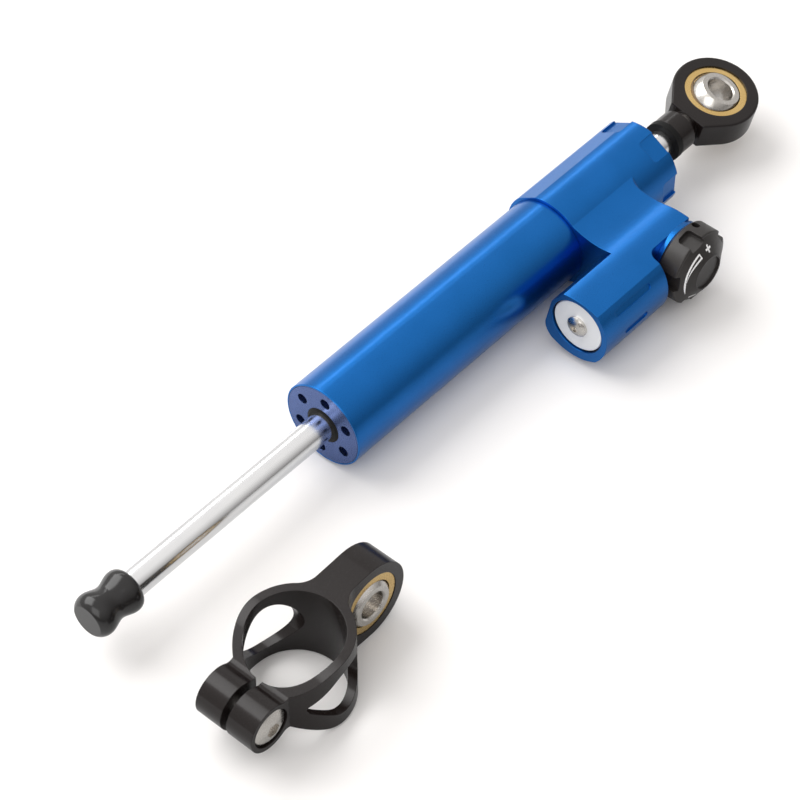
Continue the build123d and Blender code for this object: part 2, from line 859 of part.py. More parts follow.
screw_axis_plane = Plane(
    origin=(block_front + cap_face, -block_y, 0), x_dir=(-1, 0, 0), z_dir=(0, 0, 1)
)
with BuildPart() as reservoir_screw:
    with BuildSketch(screw_axis_plane):
        with BuildLine():
            Polyline(
                (reservoir_screw_head_t, 0),
                (0, 0),
                (0, reservoir_screw_head_d / 2),
                (reservoir_screw_head_t / 3, reservoir_screw_head_d / 2),
            )
            ThreePointArc(
                *dome(
                    reservoir_screw_head_t,
                    reservoir_screw_head_t / 3,
                    reservoir_screw_head_d / 2,
                )
            )
        make_face()
    revolve(axis=reservoir_axis)
    with BuildSketch(reservoir_end.offset(cap_face)):
        Circle(reservoir_screw_d / 2)
    extrude(amount=reservoir_screw_length)
    with BuildSketch(reservoir_end.offset(cap_face - reservoir_screw_head_t)):
        RegularPolygon(reservoir_hex_af / 2, 6, major_radius=False)
    extrude(amount=reservoir_hex_depth, mode=Mode.SUBTRACT)
save(reservoir_screw, "reservoir_screw")


# Separator piston between oil and spring
separator_end = separator_place + separator_length
separator_ring_place = separator_place + separator_length / 2
with BuildPart() as separator_piston:
    with BuildSketch(reservoir_half):
        with BuildLine():
            Polyline(
                (separator_place + separator_dish_depth, 0),
                (separator_place + separator_dish_depth, separator_dish_d / 2),
                (separator_place, separator_dish_d / 2),
                (separator_place, reservoir_bore_d / 2 - slide_gap),
                (separator_ring_place - o_ring_groove_half, reservoir_bore_d / 2 - slide_gap),
                (separator_ring_place - o_ring_groove_half, reservoir_floor_r),
                (separator_ring_place + o_ring_groove_half, reservoir_floor_r),
                (separator_ring_place + o_ring_groove_half, reservoir_bore_d / 2 - slide_gap),
                (separator_end, reservoir_bore_d / 2 - slide_gap),
                (separator_end, 0),
                close=True,
            )
        make_face()
    revolve(axis=reservoir_axis)
save(separator_piston, "separator_piston")

for ring_name, ring_place in (
    ("cap_o_ring", cap_back - cap_body_t / 2),
    ("separator_o_ring", separator_ring_place),
):
    with BuildPart() as reservoir_o_ring:
        ring_radius = reservoir_bore_d / 2 - reservoir_o_ring_section_d / 2 - seal_gap
        with BuildSketch(reservoir_half):
            with Locations((ring_place, ring_radius)):
                RegularPolygon(reservoir_o_ring_section_d / 2, ring_sides)
        revolve(axis=reservoir_axis)
    save(reservoir_o_ring, ring_name)


# Compensation spring between the cap and the separator
spring_length = separator_place - cap_back - spring_wire - 2 * seat_gap
spring_foot = block_front + cap_back + seat_gap + spring_wire / 2
with BuildPart() as compensation_spring:
    with BuildLine() as spring_coil:
        Helix(
            spring_length / spring_turns,
            spring_length,
            spring_mean_d / 2,
            center=(spring_foot, -block_y, 0),
            direction=(1, 0, 0),
        )
    with BuildSketch(coil_section(spring_coil.line, (spring_foot, -block_y, 0))):
        Rectangle(spring_wire, spring_wire)
    sweep(is_frenet=True)
save(compensation_spring, "compensation_spring")


# Adjuster gland, screwed into the valve bore under the knob
gland_groove_half = spindle_o_ring_section_d / 2 + slide_gap
gland_groove_r = spindle_d / 2 + spindle_o_ring_section_d + slide_gap
with BuildPart() as adjuster_gland:
    with BuildSketch(knob_half):
        with BuildLine():
            Polyline(
                (gland_flange_t, spindle_d / 2 + slide_gap),
                (gland_flange_t, gland_flange_d / 2 - fine_break),
                (gland_flange_t - fine_break, gland_flange_d / 2),
                (0, gland_flange_d / 2),
                (0, gland_thread_d / 2),
                (-gland_length, gland_thread_d / 2),
                (-gland_length, spindle_d / 2 + slide_gap),
                (-gland_o_ring_place - gland_groove_half, spindle_d / 2 + slide_gap),
                (-gland_o_ring_place - gland_groove_half, gland_groove_r),
                (-gland_o_ring_place + gland_groove_half, gland_groove_r),
                (-gland_o_ring_place + gland_groove_half, spindle_d / 2 + slide_gap),
                close=True,
            )
        make_face()
    revolve(axis=knob_axis)
    with BuildSketch(knob_plane):
        with Locations((0, detent_radius)):
            Circle(detent_hole_d / 2)
    extrude(amount=gland_flange_t, mode=Mode.SUBTRACT)
save(adjuster_gland, "adjuster_gland")

with BuildPart() as spindle_o_ring:
    with BuildSketch(knob_half):
        with Locations((-gland_o_ring_place, gland_groove_r - spindle_o_ring_section_d / 2 - seal_gap)):
            RegularPolygon(spindle_o_ring_section_d / 2 - seal_gap, ring_sides)
    revolve(axis=knob_axis)
save(spindle_o_ring, "spindle_o_ring")


# Spindle: shaft, collar under the gland and a half-cut spool that turns over the port
knob_back = gland_flange_t + knob_gap
knob_front = knob_back + knob_height
spindle_top = knob_front - knob_cap_t
collar_top = -gland_length - seat_gap
collar_foot = collar_top - spindle_collar_t
spool_foot = valve_seat_floor + seat_gap - valve_floor_depth
with BuildPart() as adjuster_spindle:
    with BuildSketch(knob_half):
        with BuildLine():
            Polyline(
                (spindle_top, 0),
                (spindle_top, spindle_d / 2),
                (collar_top, spindle_d / 2),
                (collar_top, spindle_collar_d / 2),
                (collar_foot, spindle_collar_d / 2),
                (collar_foot, spool_d / 2),
                (spool_foot, spool_d / 2),
                (spool_foot, 0),
                close=True,
            )
        make_face()
    revolve(axis=knob_axis)
    with BuildSketch(knob_plane.offset(spool_foot)):
        Rectangle(spool_d, spool_d, align=(Align.MIN, Align.CENTER))
    extrude(amount=spool_cut_length, mode=Mode.SUBTRACT)
save(adjuster_spindle, "adjuster_spindle")

with BuildPart() as valve_seat:
    with BuildSketch(knob_plane.offset(-valve_floor_depth)):
        Circle(valve_bore_d / 2 - slide_gap)
    extrude(amount=valve_seat_length)
    with BuildSketch(knob_plane.offset(-valve_floor_depth + valve_seat_floor)):
        Circle(spool_d / 2 + slide_gap)
    extrude(amount=valve_seat_length, mode=Mode.SUBTRACT)
    with BuildSketch(knob_plane.offset(-valve_floor_depth)):
        Circle(valve_port_r)
        Rectangle(2 * valve_port_r, 2 * valve_port_r, align=(Align.MAX, Align.CENTER), mode=Mode.SUBTRACT)
    extrude(amount=valve_seat_length, mode=Mode.SUBTRACT)
save(valve_seat, "valve_seat")


# Detent: a ball on its spring presses on the dimples under the knob
ball_centre = gland_flange_t + detent_proud - detent_ball_d / 2
with BuildPart() as detent_ball:
    with Locations(knob_plane.offset(ball_centre).location * Location((0, detent_radius, 0))):
        Sphere(detent_ball_d / 2)
save(detent_ball, "detent_ball")

detent_mean_d = detent_hole_d - detent_wire - 2 * slide_gap
detent_start = gland_flange_t - detent_hole_depth + detent_wire / 2 + slide_gap
detent_height = ball_centre - detent_ball_d / 2 - detent_wire / 2 - slide_gap - detent_start
detent_foot = (knob_x, -knob_seat_y - detent_start, detent_radius)
with BuildPart() as detent_spring:
    with BuildLine() as detent_coil:
        Helix(
            detent_height / detent_turns,
            detent_height,
            detent_mean_d / 2,
            center=detent_foot,
            direction=(0, -1, 0),
        )
    with BuildSketch(coil_section(detent_coil.line, detent_foot)):
        Rectangle(detent_wire, detent_wire)
    sweep(is_frenet=True)
save(detent_spring, "detent_spring")


# Knob: coned face with a dished centre and five grip notches
cone_rim_r = knob_d / 2 - knob_edge_r
with BuildPart() as adjuster_knob:
    with BuildSketch(knob_half):
        with BuildLine():
            Polyline(
                (knob_back, spindle_d / 2 + slide_gap),
                (knob_back, knob_d / 2 - knob_heel_break),
                (knob_back + knob_heel_break, knob_d / 2),
                (knob_front - knob_cone_height - knob_edge_r, knob_d / 2),
            )
            RadiusArc(
                (knob_front - knob_cone_height - knob_edge_r, knob_d / 2),
                (knob_front - knob_cone_height, cone_rim_r),
                knob_edge_r,
            )
            Polyline(
                (knob_front - knob_cone_height, cone_rim_r),
                (knob_front, knob_face_d / 2),
                (knob_front, knob_dish_d / 2),
                (knob_front - knob_dish_depth, knob_dish_d / 2),
                (knob_front - knob_dish_depth, 0),
                (spindle_top + seat_gap, 0),
                (spindle_top + seat_gap, spindle_d / 2 + slide_gap),
                (knob_back, spindle_d / 2 + slide_gap),
            )
        make_face()
    revolve(axis=knob_axis)
    for notch in range(notch_count):
        turn = radians(notch_first_angle + notch * 360 / notch_count)
        notch_plane = Plane(
            origin=(
                knob_x + knob_d / 2 * cos(turn),
                -knob_seat_y - knob_front,
                knob_d / 2 * sin(turn),
            ),
            x_dir=(0, 1, 0),
            z_dir=(cos(turn), 0, sin(turn)),
        )
        with BuildSketch(notch_plane.offset(cut_over)) as notch_shape:
            Rectangle(2 * (knob_height - notch_back_rim), notch_width)
            fillet(notch_shape.vertices().group_by(Axis.X)[-1], notch_corner_r)
        extrude(amount=-notch_depth - cut_over, mode=Mode.SUBTRACT)
    with BuildSketch(knob_plane.offset(knob_back)):
        with PolarLocations(detent_radius, detent_count):
            Circle(detent_dimple_d / 2)
    extrude(amount=detent_dimple_depth, mode=Mode.SUBTRACT)
    grub_turn = radians(grub_angle)
    grub_plane = Plane(
        origin=(knob_x, -knob_seat_y - knob_back - grub_place, 0),
        x_dir=(0, -1, 0),
        z_dir=(cos(grub_turn), 0, sin(grub_turn)),
    )
    with BuildSketch(grub_plane):
        Circle(grub_d / 2 + thread_gap)
    extrude(amount=knob_d / 2 + cut_over, mode=Mode.SUBTRACT)
save(adjuster_knob, "adjuster_knob")

with BuildPart() as knob_grub_screw:
    with BuildSketch(grub_plane.offset(spindle_d / 2 + slide_gap)):
        Circle(grub_d / 2)
    extrude(amount=grub_length)
    with BuildSketch(grub_plane.offset(spindle_d / 2 + slide_gap + grub_length)):
        RegularPolygon(grub_d / 4, 6, major_radius=False)
    extrude(amount=-grub_inset * 2, mode=Mode.SUBTRACT)
save(knob_grub_screw, "knob_grub_screw")


# White marks on the coned face: a tapering scale, a plus and a minus
mark_base = knob_front - knob_cone_height - mark_t
wedge_inset_angle = scale_line / scale_outer_r * 180 / pi
with BuildPart() as knob_marks:
    for inset, start_angle, end_angle in (
        (0, scale_from_angle, scale_to_angle),
        (scale_line, scale_from_angle + wedge_inset_angle, scale_to_angle - 8 * wedge_inset_angle),
    ):
        mid_angle = (start_angle + end_angle) / 2
        far_r = scale_outer_r - inset
        near_r = scale_outer_r - scale_width + inset
        with BuildSketch(knob_plane.offset(mark_base)):
            with BuildLine():
                ThreePointArc(
                    around(far_r, start_angle),
                    around(far_r, mid_angle),
                    around(far_r, end_angle),
                )
                Spline(
                    around(far_r, end_angle),
                    around((far_r + near_r) / 2, mid_angle),
                    around(near_r, start_angle),
                )
                Line(around(near_r, start_angle), around(far_r, start_angle))
            make_face()
        extrude(
            amount=knob_cone_height + 2 * mark_t,
            mode=Mode.SUBTRACT if inset else Mode.ADD,
        )
    with BuildSketch(knob_plane.offset(mark_base)):
        for sign_angle in sign_angles:
            with Locations(around(sign_radius, sign_angle)):
                Rectangle(sign_size, sign_line)
        with Locations(around(sign_radius, sign_angles[0])):
            Rectangle(sign_line, sign_size)
    extrude(amount=knob_cone_height + 2 * mark_t)
    with BuildSketch(knob_half):
        with BuildLine():
            Polyline(
                (knob_front - knob_cone_height, cone_rim_r),
                (knob_front, knob_face_d / 2),
                (knob_front + mark_t, knob_face_d / 2),
                (knob_front - knob_cone_height + mark_t, cone_rim_r),
                close=True,
            )
        make_face()
    revolve(axis=knob_axis, mode=Mode.INTERSECT)
save(knob_marks, "knob_marks")


# Rod end: teardrop plate on a round neck, with a washer in front of it
roll = radians(rod_end_roll)
plate_axis = (0, -sin(roll), cos(roll))
tangent_turn = radians(head_tangent_angle)
plate_plane = Plane(origin=(rod_end_x, 0, 0), x_dir=(1, 0, 0), z_dir=plate_axis)
neck_start = rod_rear_reach + seat_gap
with BuildPart() as rod_end:
    with BuildSketch(plate_plane.offset(-plate_t / 2)) as plate_shape:
        Circle(head_r)
        with BuildLine():
            Polyline(
                (-neck_root, neck_d / 2),
                (-head_r * sin(tangent_turn), head_r * cos(tangent_turn)),
                (-head_r * sin(tangent_turn), -head_r * cos(tangent_turn)),
                (-neck_root, -neck_d / 2),
                close=True,
            )
        make_face()
    extrude(amount=plate_t)
    plate_faces = rod_end.faces().filter_by(plate_plane)
    fillet([edge for plate_face in plate_faces for edge in plate_face.edges()], plate_edge_r)
    with BuildSketch(Plane.XZ):
        with BuildLine():
            Polyline(
                (neck_start, 0),
                (neck_start, neck_d / 2 - edge_break),
                (neck_start + edge_break, neck_d / 2),
                (neck_start + neck_length - neck_taper, neck_d / 2),
                (neck_start + neck_length, plate_t / 2 - plate_edge_r),
                (neck_start + neck_length, 0),
                close=True,
            )
        make_face()
    revolve(axis=Axis.X)
    with BuildSketch(Plane.YZ.offset(neck_start - cut_over)):
        Circle(rod_rear_stud_d / 2 + slide_gap)
    extrude(amount=rod_rear_stud_length + cut_over + seat_gap, mode=Mode.SUBTRACT)
    with BuildSketch(plate_plane.offset(-plate_t)):
        Circle(race_od / 2 + slide_gap)
    extrude(amount=2 * plate_t, mode=Mode.SUBTRACT)
save(rod_end, "rod_end")

with BuildPart() as rod_end_washer:
    with BuildSketch(Plane.YZ.offset(neck_start - seal_gap)):
        Circle(washer_od / 2)
        Circle(rod_d / 2 + slide_gap, mode=Mode.SUBTRACT)
    extrude(amount=-washer_t)
save(rod_end_washer, "rod_end_washer")


# Tube clamp: plan outline and side outline cut from one block
clamp_r = clamp_bore_d / 2 + clamp_wall
clamp_plan = Plane(origin=(clamp_x, clamp_y, clamp_z), x_dir=(1, 0, 0), z_dir=(0, 0, 1))
clamp_side = Plane(origin=(clamp_x, clamp_y, clamp_z), x_dir=(1, 0, 0), z_dir=(0, -1, 0))
clamp_eye = Plane(
    origin=(clamp_x + eye_reach, clamp_y + eye_offset, clamp_z), x_dir=(1, 0, 0), z_dir=(0, -1, 0)
)
lug_plane = Plane(origin=(clamp_x - lug_reach, clamp_y, clamp_z), x_dir=(1, 0, 0), z_dir=(0, -1, 0))
head_seat = lug_half_width - counterbore_depth
ramp = radians(ramp_angle)
crown_curve = [
    (crown_place - crown_r * sin(turn), clamp_half_height - crown_r * (1 - cos(turn)))
    for turn in (ramp, ramp / 2, 0)
]
ramp_top = crown_curve[0]
ramp_foot = ramp_top[0] - ramp_top[1] * cos(ramp) / sin(ramp)
with BuildPart() as clamp_body:
    with BuildSketch(clamp_plan.offset(-eye_r - cut_over)) as plan_shape:
        Circle(clamp_r)
        with Locations((0, eye_offset)):
            Rectangle(eye_reach + eye_r, eye_t, align=(Align.MIN, Align.CENTER))
        with Locations((0, 0)):
            Rectangle(lug_reach + lug_r, 2 * lug_half_width, align=(Align.MAX, Align.CENTER))
        joins = plan_shape.vertices().filter_by(
            lambda v: abs(sqrt(v.X * v.X + v.Y * v.Y) - clamp_r) < slide_gap
        )
        fillet(joins.filter_by(lambda v: v.X > 0), eye_blend_r)
        fillet(joins.filter_by(lambda v: v.X < 0), lug_blend_r)
        Circle(clamp_bore_d / 2, mode=Mode.SUBTRACT)
        Rectangle(
            lug_reach + 2 * lug_r, slit_width, align=(Align.MAX, Align.CENTER), mode=Mode.SUBTRACT
        )
    extrude(amount=2 * (eye_r + cut_over))
    with BuildSketch(clamp_side.offset(-clamp_r - cut_over)) as side_shape:
        with BuildLine():
            for side in (1, -1):
                Line((ramp_foot, 0), (ramp_top[0], side * ramp_top[1]))
                ThreePointArc(*[(x, side * z) for x, z in crown_curve])
                Line((crown_place, side * clamp_half_height), (eye_reach, side * eye_r))
            ThreePointArc((eye_reach, eye_r), (eye_reach + eye_r, 0), (eye_reach, -eye_r))
        make_face()
        with Locations((-lug_reach, 0)):
            Circle(lug_r)
        fillet(
            side_shape.vertices().filter_by(lambda v: v.X < ramp_top[0] - slide_gap),
            ramp_blend_r,
        )
    extrude(amount=2 * (clamp_r + cut_over), mode=Mode.INTERSECT)

    # Teardrop windows, the bearing's seat and the screw's hole
    with BuildSketch(clamp_side.offset(-clamp_r - cut_over)):
        with Locations((window_round_place, 0)):
            Circle(window_round_r)
        with Locations((-window_tip_place, 0)):
            Circle(window_tip_r)
        make_hull()
    extrude(amount=2 * (clamp_r + cut_over), mode=Mode.SUBTRACT)
    with BuildSketch(clamp_eye.offset(-eye_t)):
        Circle(race_od / 2 + slide_gap)
    extrude(amount=2 * eye_t, mode=Mode.SUBTRACT)
    with BuildSketch(lug_plane.offset(head_seat)):
        Circle(counterbore_d / 2)
    extrude(amount=counterbore_depth + cut_over, mode=Mode.SUBTRACT)
    with BuildSketch(lug_plane):
        Circle(clamp_screw_d / 2 + open_gap)
    extrude(amount=lug_half_width, mode=Mode.SUBTRACT)
    with BuildSketch(lug_plane):
        Circle(clamp_screw_d / 2 + thread_gap)
    extrude(amount=-lug_half_width - cut_over, mode=Mode.SUBTRACT)
save(clamp_body, "clamp_body")


# Clamp screw, with its head in the counterbore
clamp_screw_axis = Axis(lug_plane.origin, (0, -1, 0))
head_half = Plane(
    origin=(clamp_x - lug_reach, clamp_y - head_seat, clamp_z), x_dir=(0, -1, 0), z_dir=(0, 0, 1)
)
with BuildPart() as clamp_screw:
    with BuildSketch(head_half):
        with BuildLine():
            Polyline(
                (clamp_screw_head_t, 0),
                (0, 0),
                (0, clamp_screw_head_d / 2),
                (clamp_screw_head_t / 3, clamp_screw_head_d / 2),
            )
            ThreePointArc(
                *dome(clamp_screw_head_t, clamp_screw_head_t / 3, clamp_screw_head_d / 2)
            )
        make_face()
    revolve(axis=clamp_screw_axis)
    with BuildSketch(lug_plane.offset(head_seat)):
        Circle(clamp_screw_d / 2)
    extrude(amount=-clamp_screw_length)
    with BuildSketch(lug_plane.offset(head_seat + clamp_screw_head_t)):
        RegularPolygon(clamp_screw_hex_af / 2, 6, major_radius=False)
    extrude(amount=-clamp_screw_hex_depth, mode=Mode.SUBTRACT)
save(clamp_screw, "clamp_screw")


# Spherical bearings: race, sliding liner and ball, in the rod end and in the clamp
lean = radians(ball_lean)
tilt = radians(ball_roll)
leaned_axis = (sin(lean), -sin(tilt) * cos(lean), cos(tilt) * cos(lean))
liner_inner_r = ball_d / 2 + bearing_gap
liner_outer_r = liner_inner_r + bearing_liner_t
race_inner_r = liner_outer_r + bearing_gap
bearings = (
    ("rod_end", plate_plane, Plane(origin=(rod_end_x, 0, 0), z_dir=leaned_axis), race_t),
    ("clamp", clamp_eye, clamp_eye, clamp_race_t),
)
for bearing, seat, ball_seat, race_length in bearings:
    with BuildPart() as race:
        with BuildSketch(seat.offset(-race_length / 2)):
            Circle(race_od / 2)
        extrude(amount=race_length)
        with Locations(seat.location):
            Sphere(race_inner_r, mode=Mode.SUBTRACT)
    save(race, f"{bearing}_race")

    with BuildPart() as bearing_liner:
        with BuildSketch(ball_seat.offset(-bearing_liner_half)):
            Circle(liner_outer_r + cut_over)
        extrude(amount=2 * bearing_liner_half)
        with Locations(ball_seat.location):
            Sphere(liner_outer_r, mode=Mode.INTERSECT)
            Sphere(liner_inner_r, mode=Mode.SUBTRACT)
    save(bearing_liner, f"{bearing}_liner")

    with BuildPart() as ball:
        with BuildSketch(ball_seat.offset(-ball_width / 2)):
            Circle(ball_d / 2 + cut_over)
        extrude(amount=ball_width)
        with Locations(ball_seat.location):
            Sphere(ball_d / 2, mode=Mode.INTERSECT)
        with BuildSketch(ball_seat.offset(-ball_width / 2 - cut_over)):
            Circle(ball_bore_d / 2)
        extrude(amount=ball_width + 2 * cut_over, mode=Mode.SUBTRACT)
        bore_rims = ball.edges().filter_by(GeomType.CIRCLE).filter_by(
            lambda e: abs(e.radius - ball_bore_d / 2) < slide_gap
        )
        chamfer(bore_rims, ball_bore_break)
    save(ball, f"{bearing}_ball")
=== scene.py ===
"""Looks for the motorcycle steering damper: materials, floor, lamps and camera."""

import json

import bpy
from mathutils import Matrix, Vector

# Camera, as fitted to the photograph, in metres
EYE = (-0.46536, -0.44257, 0.72014)
RIGHT = (0.6600, -0.7512, 0.0)
FORWARD = (0.5046, 0.4434, -0.7410)
LENS_MM = 132.26
SENSOR_MM = 36.0
CLIP_START_M = 0.05
CLIP_END_M = 20.0

# Floor: its size and place in metres, its tone, and the painted reflection tones that
# glossy rays see instead, a painted shade that is greyer on the camera side
FLOOR_SIZE = 8.0
FLOOR_X = 0.1
FLOOR_Z = -0.01737
FLOOR_TONE = (0.92, 0.902, 0.888)
FLOOR_PAINTED_REFLECTION_NEAR = (0.46, 0.46, 0.46)
FLOOR_PAINTED_REFLECTION_FAR = (0.95, 0.95, 0.95)
FLOOR_PAINTED_REFLECTION_FADE_M = 0.12
FLOOR_ROUGHNESS = 0.8
FLOOR_SPECULAR = 0.1

# World: tones by direction, the heights and sides between which they change, strength
NEAR_HORIZON = (0.25, 0.243, 0.24)
FAR_HORIZON = (0.85, 0.84, 0.83)
OVERHEAD = (1.0, 0.985, 0.975)
SKY_RISE = (0.05, 0.85)
SKY_SIDE = (-0.3, 0.7)
SKY_STRENGTH = 0.9

# Finishes: the part of a noise's range that is used, the bump's depth, the bevel's samples
NOISE_MIDDLE = (0.3, 0.7)
BUMP_DEPTH_M = 0.0001
BEVEL_SAMPLES = 6

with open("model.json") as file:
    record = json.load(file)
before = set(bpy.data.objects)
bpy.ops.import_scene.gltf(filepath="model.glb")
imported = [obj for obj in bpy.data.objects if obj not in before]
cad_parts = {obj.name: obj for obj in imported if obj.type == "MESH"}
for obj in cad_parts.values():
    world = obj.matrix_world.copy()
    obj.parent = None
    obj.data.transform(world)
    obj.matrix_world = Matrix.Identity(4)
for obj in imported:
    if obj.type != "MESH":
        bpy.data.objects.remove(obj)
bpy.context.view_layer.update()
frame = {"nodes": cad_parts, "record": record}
nodes = frame["nodes"]


def new_material(name):
    """A material with only a Principled shader and its output."""
    made = bpy.data.materials.new(name)
    made.use_nodes = True
    tree = made.node_tree
    shader = tree.nodes["Principled BSDF"]
    return made, tree, shader


def add(tree, kind, **settings):
    """A new node with its sockets set by name."""
    node = tree.nodes.new(kind)
    for key, value in settings.items():
        if key in node.inputs:
            node.inputs[key].default_value = value
        else:
            setattr(node, key, value)
    return node


def noise(tree, scale, detail=3.0, stretch=None):
    """Noise in object space, in features per metre, stretched along an axis if asked."""
    coords = add(tree, "ShaderNodeTexCoord")
    mapping = add(tree, "ShaderNodeMapping")
    mapping.inputs["Scale"].default_value = stretch or (1, 1, 1)
    texture = add(tree, "ShaderNodeTexNoise", Scale=scale, Detail=detail)
    tree.links.new(coords.outputs["Object"], mapping.inputs["Vector"])
    tree.links.new(mapping.outputs["Vector"], texture.inputs["Vector"])
    return texture.outputs["Fac"]


def spread(tree, source, low, high, source_range=NOISE_MIDDLE):
    """Maps the middle of a noise, or the range given, onto low to high."""
    node = add(tree, "ShaderNodeMapRange")
    node.inputs["From Min"].default_value = source_range[0]
    node.inputs["From Max"].default_value = source_range[1]
    node.inputs["To Min"].default_value = low
    node.inputs["To Max"].default_value = high
    tree.links.new(source, node.inputs["Value"])
    return node.outputs["Result"]


def coordinate(tree, vector, axis):
    """One coordinate of a vector."""
    node = add(tree, "ShaderNodeSeparateXYZ")
    tree.links.new(vector, node.inputs["Vector"])
    return node.outputs[axis]


def blend(tree, share, first, second):
    """Mixes two colours, or outputs of other nodes, by a share."""
    node = add(tree, "ShaderNodeMix", data_type="RGBA")
    tree.links.new(share, node.inputs["Factor"])
    for socket, colour in (("A", first), ("B", second)):
        if isinstance(colour, tuple):
            node.inputs[socket].default_value = (*colour, 1)
        else:
            tree.links.new(colour, node.inputs[socket])
    return node.outputs["Result"]


def surface(
    name,
    base,
    other,
    metallic=0.0,
    rough=(0.3, 0.4),
    grain=1500.0,
    bump=0.02,
    coat=0.0,
    coat_rough=0.1,
    specular=0.5,
    round_edge=0.0,
    stretch=None,
    patch=60.0,
):
    """A finish with soft colour patches, uneven roughness, fine grain and eased edges."""
    made, tree, shader = new_material(name)
    large = noise(tree, patch, 4.0)
    fine = noise(tree, grain, 3.0, stretch)
    colour = blend(tree, spread(tree, large, 0.0, 1.0), base, other)
    tree.links.new(colour, shader.inputs["Base Color"])
    tree.links.new(spread(tree, fine, *rough), shader.inputs["Roughness"])
    shader.inputs["Metallic"].default_value = metallic
    shader.inputs["Specular IOR Level"].default_value = specular
    shader.inputs["Coat Weight"].default_value = coat
    shader.inputs["Coat Roughness"].default_value = coat_rough
    bumped = add(tree, "ShaderNodeBump", Strength=bump, Distance=BUMP_DEPTH_M)
    tree.links.new(fine, bumped.inputs["Height"])
    if round_edge:
        eased = add(tree, "ShaderNodeBevel", samples=BEVEL_SAMPLES)
        eased.inputs["Radius"].default_value = round_edge
        tree.links.new(eased.outputs["Normal"], bumped.inputs["Normal"])
    tree.links.new(bumped.outputs["Normal"], shader.inputs["Normal"])
    return made


blue = surface(
    "blue_anodised_finish",
    (0.0070, 0.134, 0.440),
    (0.0095, 0.148, 0.485),
    metallic=0.92,
    rough=(0.27, 0.30),
    grain=5200.0,
    bump=0.004,
    coat=0.10,
    coat_rough=0.12,
    round_edge=0.00025,
)
guide_blue = surface(
    "guide_face_finish",
    (0.065, 0.110, 0.280),
    (0.085, 0.135, 0.330),
    metallic=0.90,
    rough=(0.24, 0.32),
    grain=2600.0,
    bump=0.015,
    coat=0.05,
    coat_rough=0.2,
    round_edge=0.0002,
)
black = surface(
    "black_anodised_finish",
    (0.0080, 0.0052, 0.0046),
    (0.0115, 0.0080, 0.0072),
    metallic=0.05,
    specular=0.32,
    rough=(0.20, 0.28),
    grain=3000.0,
    bump=0.012,
    coat=0.10,
    coat_rough=0.08,
    round_edge=0.0003,
)
knob_black = surface(
    "moulded_black_finish",
    (0.0170, 0.0145, 0.0135),
    (0.0240, 0.0205, 0.0190),
    rough=(0.32, 0.42),
    grain=5200.0,
    bump=0.08,
    round_edge=0.0003,
)
rubber = surface(
    "bumper_rubber_finish",
    (0.010, 0.009, 0.009),
    (0.016, 0.015, 0.015),
    rough=(0.14, 0.22),
    grain=4200.0,
    bump=0.03,
    round_edge=0.0004,
)
seal_black = surface(
    "seal_rubber_finish",
    (0.004, 0.004, 0.004),
    (0.007, 0.007, 0.007),
    rough=(0.50, 0.65),
    grain=4200.0,
    bump=0.05,
    specular=0.2,
)
chrome = surface(
    "chrome_rod_finish",
    (0.86, 0.86, 0.865),
    (0.91, 0.91, 0.91),
    metallic=1.0,
    rough=(0.16, 0.21),
    grain=900.0,
    bump=0.004,
    stretch=(0.05, 1.0, 1.0),
)
steel = surface(
    "ground_steel_finish",
    (0.60, 0.57, 0.53),
    (0.68, 0.65, 0.61),
    metallic=1.0,
    rough=(0.18, 0.30),
    grain=3000.0,
    bump=0.03,
    round_edge=0.0002,
)
silver = surface(
    "turned_aluminium_finish",
    (0.88, 0.89, 0.90),
    (0.91, 0.92, 0.93),
    metallic=0.45,
    rough=(0.28, 0.34),
    grain=5200.0,
    bump=0.008,
    round_edge=0.0002,
)
brass = surface(
    "bearing_brass_finish",
    (0.66, 0.44, 0.16),
    (0.74, 0.52, 0.22),
    metallic=1.0,
    rough=(0.20, 0.32),
    grain=2200.0,
    bump=0.03,
    round_edge=0.0002,
)
liner_brown = surface(
    "liner_fabric_finish",
    (0.16, 0.10, 0.05),
    (0.22, 0.15, 0.08),
    rough=(0.5, 0.7),
    grain=6000.0,
    bump=0.2,
)
white_mark = surface(
    "white_print_finish",
    (0.82, 0.82, 0.82),
    (0.90, 0.90, 0.90),
    rough=(0.4, 0.55),
    grain=4000.0,
    bump=0.05,
)

FINISH = {
    "blue_anodised": blue,
    "dark_anodised": black,
    "chrome": chrome,
    "steel": steel,
    "black_steel": black,
    "aluminium": silver,
    "brass": brass,
    "rubber": rubber,
    "ptfe": liner_brown,
    "white_mark": white_mark,
}
slot_of = {row["node"]: row["material_slot"] for row in frame["record"]["subparts"]}
for name, node in nodes.items():
    finish = FINISH[slot_of[name]]
    if name == "adjuster_knob":
        finish = knob_black
    elif name.endswith("rod_guide"):
        finish = guide_blue
    elif finish is rubber and name != "rod_bumper":
        finish = seal_black
    node.data.materials.clear()
    node.data.materials.append(finish)
    for polygon in node.data.polygons:
        polygon.use_smooth = True


# Pale floor. Glossy rays see a painted shade instead, greyer on the camera side than on
# the far side, which darkens the reflections under the tube and inside the clamp's bore
bpy.ops.mesh.primitive_plane_add(size=FLOOR_SIZE, location=(FLOOR_X, 0.0, FLOOR_Z))
floor = bpy.context.object
floor.name = "floor"
floor_white_with_painted_reflection, floor_tree, floor_shader = new_material("floor_white_with_painted_reflection")
floor_place = add(floor_tree, "ShaderNodeNewGeometry").outputs["Position"]
painted_reflection_fade = spread(
    floor_tree,
    coordinate(floor_tree, floor_place, "Y"),
    0.0,
    1.0,
    (-FLOOR_PAINTED_REFLECTION_FADE_M, FLOOR_PAINTED_REFLECTION_FADE_M),
)
painted_reflection_tone = blend(floor_tree, painted_reflection_fade, FLOOR_PAINTED_REFLECTION_NEAR, FLOOR_PAINTED_REFLECTION_FAR)
